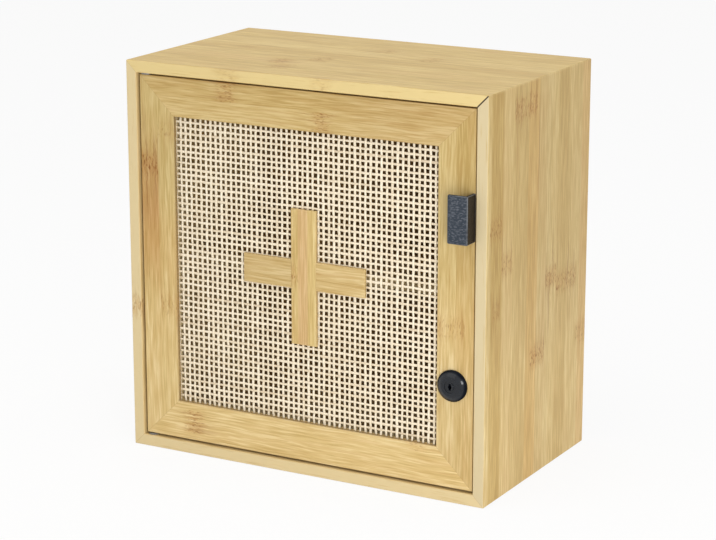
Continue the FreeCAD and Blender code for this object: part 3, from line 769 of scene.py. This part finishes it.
@dataclass
class Assembly:
    """Part of the cabinet: it builds its own meshes and dresses its pieces."""

    KNUCKLE_CHANCE = 0.6
    KNUCKLE_STRENGTHS = (0.35, 0.70)
    KNUCKLE_SPACING = 0.26
    SPACING_PLAY = (0.85, 1.15)

    effects: Effects

    def dress_node(self, node: str, finish: Finish) -> None:
        """Gives a CAD node its finish.

        Args:
            node: The node's name.
            finish: What its surface is made of.
        """
        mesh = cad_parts[node].data
        mesh.materials.clear()
        mesh.materials.append(Canvas(node, finish, self.effects).material)
        log.info("%s: %s", node, type(finish).__name__)

    def dress_metal(self, *nodes: str) -> None:
        """Gives CAD nodes the zinc plating that all the ironmongery has."""
        for node in nodes:
            self.dress_node(node, Plated())

    def dress_bamboo(self, node: str, lay: Lay, seed: float, **choices: object) -> None:
        """Gives a CAD node a bamboo finish that is cut to fit it.

        Args:
            node: The node's name.
            lay: How the node is cut.
            seed: Which stretch of bamboo it comes from.
            **choices: Other fields of the finish.
        """
        low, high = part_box(node)
        self.dress_node(node, Bamboo(lay, seed, tuple(low), tuple(high), **choices))

    def strewn_knuckles(self, node: str, lay: Lay, seed: int, first_strip: float) -> tuple[Knuckle, ...]:
        """Strews knuckles over a board, about one to each stretch of each strip.

        Args:
            node: The board.
            lay: How it is cut.
            seed: Which draw of places.
            first_strip: The width of its first strip; the others have the usual width.

        Returns:
            The knuckles.
        """
        draw = random.Random(seed)
        low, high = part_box(node)
        along, across, _ = lay.value
        made = []
        edge = low[across] + first_strip - Bamboo.strip_width
        while edge < high[across]:
            place = low[along] + draw.uniform(0.0, self.KNUCKLE_SPACING)
            while place < high[along]:
                if draw.random() < self.KNUCKLE_CHANCE:
                    strength = draw.uniform(*self.KNUCKLE_STRENGTHS)
                    made.append(Knuckle(place, edge, edge + Bamboo.strip_width, strength))
                place += self.KNUCKLE_SPACING * draw.uniform(*self.SPACING_PLAY)
            edge += Bamboo.strip_width
        return tuple(made)


@dataclass
class Carcass(Assembly):
    """The mitred box, with its back, hanging rail and splines."""

    first_strip: float = 0.0050
    bright_edge: Colour = (0.635, 0.522, 0.312)
    back_edge: Colour = (0.360, 0.230, 0.095)
    # Painted shade: darkens the back panel so the inside of the cabinet looks dark through the cane
    interior_shade_tint: Colour = (0.50, 0.41, 0.31)
    open_mitre: Mitre = Mitre(1.0, 1.0, 0.00105, 1.0, (0.030, 0.018, 0.008))

    def dress_board(self, node: str, lay: Lay, seed: float, **choices: object) -> None:
        """Dresses a board, with its strips counted from the front, as dress_bamboo() says."""
        self.dress_bamboo(node, lay, seed, wood=Wood.WHEAT, first_strip=self.first_strip, **choices)

    def dress(self) -> None:
        """Dresses the boards, each from its own bamboo."""
        self.dress_board(
            "top_panel", Lay.LEVEL_BOARD, 3.1, mitres=(self.open_mitre, Mitre(-1.0, 1.0)),
            knuckles=(
                Knuckle(-0.025, -0.0275, -0.0075, 0.65, 0.012), Knuckle(-0.050, -0.0475, -0.0275, 0.75),
                Knuckle(-0.037, -0.0675, -0.0475, 0.50), Knuckle(0.003, 0.0325, 0.0525, 0.45),
                Knuckle(0.053, 0.0125, 0.0325, 0.50), Knuckle(-0.110, 0.0000, 0.0125, 0.30),
                Knuckle(-0.065, -0.0930, -0.0875, 0.25), Knuckle(0.018, -0.0930, -0.0875, 0.25)),
            tints=(Tint((1.04, 1.01, 0.83), -0.0935, 0.0935),))
        self.dress_board(
            "right_side_panel", Lay.UPRIGHT_BOARD, 8.4, edge=self.bright_edge,
            mitres=(self.open_mitre, Mitre(1.0, -1.0)),
            knuckles=(
                Knuckle(0.3010, -0.0475, -0.0075, 0.80), Knuckle(0.2160, -0.0875, -0.0675, 0.75),
                Knuckle(0.1850, -0.0675, -0.0475, 0.60), Knuckle(0.1520, -0.0820, -0.0690, 0.45),
                Knuckle(0.1570, 0.0125, 0.0325, 1.00, 0.070), Knuckle(0.1480, 0.0325, 0.0725, 0.85, 0.050),
                Knuckle(0.0990, -0.0145, 0.0125, 0.85), Knuckle(0.0980, 0.0725, 0.0930, 0.65)),
            tints=(
                Tint((1.06, 1.08, 1.12), -0.0920, -0.0860), Tint((0.86, 0.80, 0.64), -0.0860, -0.0660),
                Tint((1.03, 1.04, 1.06), -0.0660, -0.0440), Tint((1.00, 0.93, 0.84), -0.0220, -0.0030),
                Tint((0.62, 0.50, 0.36), -0.0038, -0.0028, 0.2350, 0.3000),
                Tint((0.97, 0.97, 0.98), -0.0028, 0.0210), Tint((1.02, 0.96, 0.94), 0.0775, 0.0935),
                # Painted light: the last two tints make the board darker towards the top and lighter towards
                # the bottom
                Tint((0.91, 0.89, 0.81), -0.0920, 0.0935, 0.15, fade=0.06),
                Tint((1.08, 1.08, 1.05), -0.0920, 0.0935, end=0.10, fade=0.06)))
        # The back panel gets the painted shade of the inside
        interior_shade_tints = (Tint(self.interior_shade_tint, -0.160, 0.160),)
        for node, lay, seed, places, choices in (
                ("left_side_panel", Lay.UPRIGHT_BOARD, 5.7, 11, {"mitres": LEFT_CORNERS}),
                ("bottom_panel", Lay.LEVEL_BOARD, 9.2, 12, {"mitres": BOTTOM_CORNERS}),
                ("back_panel", Lay.STILE, 14.6, 13, {"edge": self.back_edge, "tints": interior_shade_tints})):
            knuckles = self.strewn_knuckles(node, lay, places, self.first_strip)
            self.dress_board(node, lay, seed, knuckles=knuckles, **choices)
        self.dress_bamboo("hanging_rail", Lay.RAIL, 17.3)
        self.dress_bamboo("corner_splines", Lay.LEVEL_BOARD, 18.8)
        self.dress_metal("back_panel_brads")


@dataclass
class Shelf(Assembly):
    """The loose shelf and its four pins."""

    first_strip: float = 0.0200

    def dress(self) -> None:
        """Dresses the shelf and the pins."""
        knuckles = self.strewn_knuckles("shelf", Lay.LEVEL_BOARD, 21, self.first_strip)
        self.dress_bamboo("shelf", Lay.LEVEL_BOARD, 22.4, first_strip=self.first_strip, knuckles=knuckles)
        self.dress_metal("shelf_pins")


@dataclass
class DoorFrame(Assembly):
    """The four mitred members of the door, their splines and the beads that hold the cane."""

    strip_width: float = 0.0160
    # Painted shade: a dark colour for the members' narrow faces, which stand in the gaps round the door and
    # round the window
    narrow_face_shade: Colour = (0.340, 0.220, 0.090)
    wear: float = 0.10

    def dress_member(self, node: str, lay: Lay, seed: float, **choices: object) -> None:
        """Dresses a member, two strips wide, as dress_bamboo() says."""
        self.dress_bamboo(node, lay, seed, strip_width=self.strip_width, first_strip=self.strip_width,
                          edge=self.narrow_face_shade, wear=self.wear, **choices)

    def dress(self) -> None:
        """Dresses the members and the beads, each from its own bamboo."""
        self.dress_member(
            "hinge_stile", Lay.STILE, 31.7, mitres=LEFT_CORNERS,
            knuckles=(
                Knuckle(0.2385, -0.150, -0.133, 0.95, 0.065), Knuckle(0.2650, -0.133, -0.117, 0.35),
                Knuckle(0.1220, -0.133, -0.117, 0.45)),
            tints=(
                Tint((0.88, 0.77, 0.67), -0.150, -0.133, 0.150, 0.262, 0.03),
                Tint((0.94, 0.86, 0.84), -0.150, -0.133, 0.190, 0.240, 0.012),
                Tint((0.93, 0.99, 1.00), -0.150, -0.117, 0.200, fade=0.04),
                # Painted light: lighter and bluer towards the bottom of the stile
                Tint((1.09, 1.15, 1.24), -0.150, -0.117, end=0.13, fade=0.06)))
        self.dress_member(
            "lock_stile", Lay.STILE, 34.2, mitres=RIGHT_CORNERS,
            knuckles=(Knuckle(0.1390, 0.117, 0.141, 0.45),),
            tints=(
                # Painted light: darker towards the top and lighter towards the bottom of the stile
                Tint((0.84, 0.84, 0.77), 0.117, 0.150, 0.155, fade=0.04),
                Tint((0.98, 1.01, 1.08), 0.117, 0.150, end=0.12, fade=0.04)))
        self.dress_member(
            "top_rail", Lay.RAIL, 36.9, mitres=TOP_CORNERS,
            knuckles=(Knuckle(-0.0690, 0.2935, 0.310, 0.70), Knuckle(0.0170, 0.2775, 0.2935, 0.70)),
            tints=(
                Tint((0.88, 0.87, 0.81), 0.2770, 0.310),
                Tint((0.95, 0.93, 0.95), 0.2770, 0.310, 0.040, fade=0.04)))
        self.dress_member(
            "bottom_rail", Lay.RAIL, 39.5, mitres=BOTTOM_CORNERS,
            knuckles=(Knuckle(-0.1030, 0.017, 0.036, 0.80), Knuckle(0.1010, 0.036, 0.0430, 0.45)),
            # Painted light: the whole rail is made lighter and bluer, as the low end of the door
            tints=(Tint((1.07, 1.10, 1.15), 0.010, 0.043),))
        for node, lay, seed in (
                ("door_corner_splines", Lay.RAIL, 41.1), ("lower_cane_bead", Lay.RAIL, 42.3),
                ("upper_cane_bead", Lay.RAIL, 43.6), ("hinge_side_cane_bead", Lay.STILE, 44.8),
                ("lock_side_cane_bead", Lay.STILE, 45.9)):
            self.dress_bamboo(node, lay, seed)


@dataclass
class Cross(Assembly):
    """The bamboo cross on the cane: an upright of three strips, seams counted from the left, and a bar."""

    edge: Colour = (0.520, 0.350, 0.140)
    first_seam: float = 0.0064
    second_seam: float = 0.0150

    def dress(self) -> None:
        """Dresses the two laths."""
        low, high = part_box("cross_upright")
        first, second = low.x + self.first_seam, low.x + self.second_seam
        self.dress_bamboo(
            "cross_upright", Lay.STILE, 51.3, edge=self.edge,
            knuckles=(Knuckle(0.1625, low.x, first, 0.75, 0.020),),
            tints=(
                Tint((1.02, 1.06, 1.08), low.x, first), Tint((1.07, 1.05, 1.24), first, second),
                Tint((1.05, 1.10, 1.10), second, high.x)))
        low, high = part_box("cross_bar")
        self.dress_bamboo(
            "cross_bar", Lay.RAIL, 53.8, edge=self.edge,
            tints=(
                Tint((0.95, 0.95, 0.96), low.z, high.z),
                Tint((0.94, 0.94, 0.94), low.z, high.z, end=0.0, fade=0.01)))


class Run(Enum):
    """Which way strands run: the axis along them and the axis across them."""

    UPRIGHT = (2, 0)
    LEVEL = (0, 2)

    def ways(self) -> list[Vector]:
        """Gives the direction along the strands and the one across them."""
        return [Vector([float(number == axis) for number in range(3)]) for axis in self.value]


@dataclass(frozen=True)
class StrandSet:
    """One set of strands, which all run one way and are of one cane.

    play is how far a strand may lie off its place, edge_shift how much further out the outermost two lie,
    and parity whether the first starts over or under.
    """

    name: str
    run: Run
    count: int
    pitch: float
    width: float
    play: float
    cane: Cane
    edge_shift: float = 0.0
    parity: int = 0


@dataclass
class CaneWeave(Assembly):
    """The open cane in the door's window: upright and level strands, each over one and under one."""

    uprights: StrandSet = StrandSet(
        "cane_uprights", Run.UPRIGHT, count=52, pitch=0.00464, width=0.00208, play=0.00014,
        cane=Cane((0.93, 0.83, 0.65), (0.85, 0.74, 0.55), (0.64, 0.50, 0.33)))
    levels: StrandSet = StrandSet(
        "cane_levels", Run.LEVEL, count=51, pitch=0.00472, width=0.00192, play=0.00024,
        cane=Cane((0.91, 0.80, 0.62), (0.81, 0.69, 0.50), (0.58, 0.44, 0.28)), edge_shift=0.0012, parity=1)
    strand_thickness: float = 0.00052
    width_play: float = 0.09
    wander: float = 0.00009
    steps_per_crossing: int = 4
    seed: int = 7

    def build(self) -> None:
        """Weaves both sets of strands and hands them to the door in the place of the CAD panel."""
        low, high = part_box("cane_panel")
        draw = random.Random(self.seed)
        for own, other in ((self.uprights, self.levels), (self.levels, self.uprights)):
            mesh = StrandMesh(self, own, other, low, high)
            for number in range(own.count):
                offset = (number - (own.count - 1) / 2) * own.pitch
                if number in (0, own.count - 1):
                    offset += math.copysign(own.edge_shift, offset)
                mesh.add(offset + draw.uniform(-own.play, own.play), number + own.parity, draw)
            piece = mesh.piece()
            piece.data.materials.append(Canvas(own.name, own.cane, self.effects).material)
            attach(piece, "door")
            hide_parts("cane_panel")
            log.info("%s: %d faces", own.name, len(piece.data.polygons))


@dataclass
class StrandMesh:
    """The mesh of one set of strands, woven through the other set inside the panel's box."""

    # Across a strand: share of its half width, and share of its half thickness
    SECTION = ((-1.0, 0.0), (-0.78, 0.92), (0.78, 0.92), (1.0, 0.0), (0.78, -0.92), (-0.78, -0.92))
    # Wavelengths of a strand's wander, in metres
    WAVES = (0.021, 0.057, 0.130)
    # What the strand effect is told of each point, and the attribute that holds it
    MEASURES = {"Length": "strand_length", "Side": "strand_side", "Draw": "strand_draw"}

    weave: CaneWeave
    own: StrandSet
    other: StrandSet
    low: Vector
    high: Vector
    points: list[Vector] = field(default_factory=list)
    faces: list[tuple[int, ...]] = field(default_factory=list)
    measures: list[Triple] = field(default_factory=list)

    def add(self, offset: float, parity: int, draw: random.Random) -> None:
        """Adds one strand.

        Args:
            offset: How far to the side of the middle it runs.
            parity: Whether it starts over or under.
            draw: The source of chance.
        """
        weave, step = self.weave, self.other.pitch
        along, aside = self.own.run.ways()
        front = Vector((0, -1, 0))
        middle = (self.low + self.high) / 2
        length = along.dot(self.high - self.low)
        phases = [draw.uniform(0, math.tau) for _ in self.WAVES]
        width = self.own.width * draw.uniform(1 - weave.width_play, 1 + weave.width_play)
        swell = draw.uniform(0, math.tau)
        tone = draw.random()
        steps = round(length / step * weave.steps_per_crossing)
        first = len(self.points)
        sides = len(self.SECTION)
        crossing_start = -(self.other.count - 1) / 2 * step
        for index in range(steps + 1):
            run = -length / 2 + length * index / steps
            stray = sum(math.sin(math.tau * run / wave + phase) for wave, phase in zip(self.WAVES, phases))
            lift = math.cos(math.pi * ((run - crossing_start) / step + parity))
            centre = (middle + along * run + aside * (offset + stray * weave.wander)
                      + front * lift * weave.strand_thickness / 2)
            half = width / 2 * (1 + weave.width_play * math.sin(math.tau * run / self.WAVES[1] + swell))
            for share, rise in self.SECTION:
                self.points.append(centre + aside * share * half + front * rise * weave.strand_thickness / 2)
                self.measures.append((run, share, tone))
            if index:
                ring = first + (index - 1) * sides
                for corner in range(sides):
                    after = (corner + 1) % sides
                    near, far = (ring + corner, ring + after), (ring + sides + after, ring + sides + corner)
                    self.faces.append(near + far)
        last = first + steps * sides
        self.faces.append(tuple(range(first + sides - 1, first - 1, -1)))
        self.faces.append(tuple(range(last, last + sides)))

    def piece(self) -> bpy.types.Object:
        """Makes the object.

        Returns:
            The new object, in the scene.
        """
        mesh = bpy.data.meshes.new(self.own.name)
        mesh.from_pydata(self.points, [], self.faces)
        mesh.shade_smooth()
        for label, values in zip(self.MEASURES.values(), zip(*self.measures)):
            mesh.attributes.new(label, "FLOAT", "POINT").data.foreach_set("value", values)
        return put(self.own.name, mesh)


@dataclass
class Ironmongery(Assembly):
    """Handle, lock, pivots and magnetic catch."""

    lock_black: Colour = (0.002, 0.0033, 0.006)
    lock_bloom: Colour = (0.008, 0.013, 0.022)
    dull_steel: Plated = Plated((0.34, 0.33, 0.31), (0.24, 0.23, 0.22), 0.50)
    white_plastic: Coat = Coat(
        base=(0.80, 0.79, 0.75), worn=(0.70, 0.69, 0.64), grain=0.0004, contrast=0.45, gloss=0.48,
        relief=0.20, depth=0.0001)
    ferrite: Coat = Coat(
        base=(0.055, 0.055, 0.058), worn=(0.12, 0.12, 0.125), grain=0.0005, contrast=0.7, gloss=0.55,
        relief=0.25, depth=0.0001)

    def dress(self) -> None:
        """Dresses the black fittings, the catch and the plated steel."""
        low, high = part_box("handle")
        # The handle: a painted sheen on its front (front and worn) and a painted highlight in its edge lines
        self.dress_node("handle", HandledCoat(
            base=(0.027, 0.020, 0.012), front=(0.034, 0.043, 0.057), worn=(0.124, 0.136, 0.160),
            shaded=(0.052, 0.040, 0.029), edge=(0.300, 0.320, 0.340), grain=0.0010, contrast=0.75,
            gloss=0.62, relief=0.8, depth=0.0003, shine=0.14, stretch=(0.50, 0.50, 1.0), low=tuple(low),
            high=tuple(high)))
        black = {"base": self.lock_black, "worn": self.lock_bloom, "grain": 0.0009, "contrast": 0.50,
                 "gloss": 0.36, "relief": 0.03, "depth": 0.00005, "shine": 0.06, "polish": 0.72}
        low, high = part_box("lock_housing")
        self.dress_node("lock_housing", BezelCoat(centre=tuple((low + high) / 2), **black))
        self.dress_node("lock_plug", Coat(**black))
        self.dress_node("catch_case", self.white_plastic)
        self.dress_node("catch_magnet", self.ferrite)
        self.dress_metal(
            "handle_screws", "lock_nut", "lock_cam", "cam_screw", "lock_strike", "strike_screws",
            "catch_poles", "catch_screws", "catch_plate", "catch_plate_screw", "upper_pivot_pin",
            "lower_pivot_pin")
        for node in ("upper_pivot_bush", "lower_pivot_bush"):
            self.dress_node(node, self.dull_steel)


@dataclass(frozen=True)
class Softbox:
    """A soft lamp that faces the cabinet.

    level is its share of the light that makes white look white. azimuth and elevation are degrees, seen
    from the cabinet, with azimuth 0 in front and 90 on the right. in_gloss says whether gloss mirrors it.
    """

    name: str
    level: float
    azimuth: float
    elevation: float
    distance: float
    size: float
    in_gloss: bool = True


@dataclass
class Studio:
    """The pale floor, the soft light, the white surround and the camera."""

    floor_size: float = 30.0
    floor_gap: float = 0.0002
    floor_colour: Colour = (0.96, 0.96, 0.95)
    floor_glow: float = 0.88
    surround_level: float = 0.55
    lens: float = 121.22
    camera_place: Triple = (0.9193, -1.6531, 0.6448)
    camera_turn: Triple = (75.251, 0.0, 29.103)
    softboxes: tuple[Softbox, ...] = (
        Softbox("key_softbox", 0.11, -24.0, 42.0, 2.8, 2.2),
        Softbox("side_softbox", 0.25, 42.0, 10.0, 2.4, 0.6),
        Softbox("top_softbox", 0.29, 10.0, 82.0, 2.2, 1.6),
        Softbox("low_softbox", 0.21, 42.0, -6.0, 0.8, 0.4, False),
    )

    def build(self) -> None:
        """Sets up floor, surround, lamps and camera."""
        bpy.context.scene.view_settings.view_transform = "Standard"
        self.lay_floor()
        self.surround()
        for softbox in self.softboxes:
            self.hang(softbox)
        self.set_camera()

    @staticmethod
    def seen_directly(tree: Tree) -> Signal:
        """Finds the rays that look at the background: from the camera, a gloss or through glass.

        Args:
            tree: The tree that asks.

        Returns:
            1 for such a ray and 0 for others.
        """
        path = add_node(tree, "LightPath").outputs
        camera, glossy, through = (
            Signal(path[f"Is {kind} Ray"]) for kind in ("Camera", "Glossy", "Transmission"))
        return camera.most(glossy.most(through))

    def lay_floor(self) -> None:
        """Lays the floor, which glows a little to the eye, keeps shadows and is clear from below."""
        half = self.floor_size / 2
        mesh = bpy.data.meshes.new("floor")
        corners = ((-half, -half), (half, -half), (half, half), (-half, half))
        mesh.from_pydata([(x, y, -self.floor_gap) for x, y in corners], [], [(0, 1, 2, 3)])
        floor = put("floor", mesh)
        material = bpy.data.materials.new("pale_floor")
        material.use_nodes = True
        tree = material.node_tree
        tree.nodes.remove(tree.nodes["Principled BSDF"])
        paint = Signal(add_node(tree, "BsdfDiffuse", self.floor_colour).outputs[0])
        glow, clear = (Signal(add_node(tree, kind).outputs[0]) for kind in ("Emission", "BsdfTransparent"))
        lit = (self.seen_directly(tree) * self.floor_glow).mixed(paint, glow)
        from_below = Signal(add_node(tree, "NewGeometry").outputs["Backfacing"])
        feed(tree.nodes["Material Output"].inputs["Surface"], from_below.mixed(lit, clear))
        mesh.materials.append(material)

    def surround(self) -> None:
        """Makes the surround white to the eye, and a soft even light."""
        world = bpy.data.worlds.new("white_surround")
        world.use_nodes = True
        tree = world.node_tree
        tree.nodes.remove(tree.nodes["Background"])
        light, white = (Signal(add_node(tree, "Background", WHITE, level).outputs[0])
                        for level in (self.surround_level, 1.0))
        shown = self.seen_directly(tree).mixed(light, white)
        feed(tree.nodes["World Output"].inputs["Surface"], shown)
        bpy.context.scene.world = world

    @staticmethod
    def hang(softbox: Softbox) -> None:
        """Hangs one lamp, with the power that gives its level at the cabinet.

        Args:
            softbox: The lamp.
        """
        turn, rise = math.radians(softbox.azimuth), math.radians(softbox.elevation)
        aim = (cad_box[0] + cad_box[1]) / 2
        away = Vector((math.sin(turn) * math.cos(rise), -math.cos(turn) * math.cos(rise), math.sin(rise)))
        lamp = bpy.data.lights.new(softbox.name, "AREA")
        lamp.size = softbox.size
        lamp.energy = softbox.level * (math.pi * softbox.distance) ** 2
        hung = put(softbox.name, lamp)
        hung.location = aim + away * softbox.distance
        hung.rotation_euler = away.to_track_quat("Z", "Y").to_euler()
        hung.visible_glossy = softbox.in_gloss

    def set_camera(self) -> None:
        """Sets the camera where the photograph was taken from."""
        camera = bpy.data.cameras.new("camera")
        camera.lens = self.lens
        seen = put("camera", camera)
        seen.location = self.camera_place
        seen.rotation_euler = [math.radians(angle) for angle in self.camera_turn]
        bpy.context.scene.camera = seen


def main() -> None:
    """Builds the studio and dresses each part of the cabinet in turn."""
    logging.basicConfig(level=logging.INFO, format="%(name)s %(message)s")
    effects = Effects()
    Studio().build()
    for part in (Carcass(effects), Shelf(effects), DoorFrame(effects), Cross(effects), Ironmongery(effects)):
        part.dress()
    CaneWeave(effects).build()


if __name__ == "__main__":
    main()
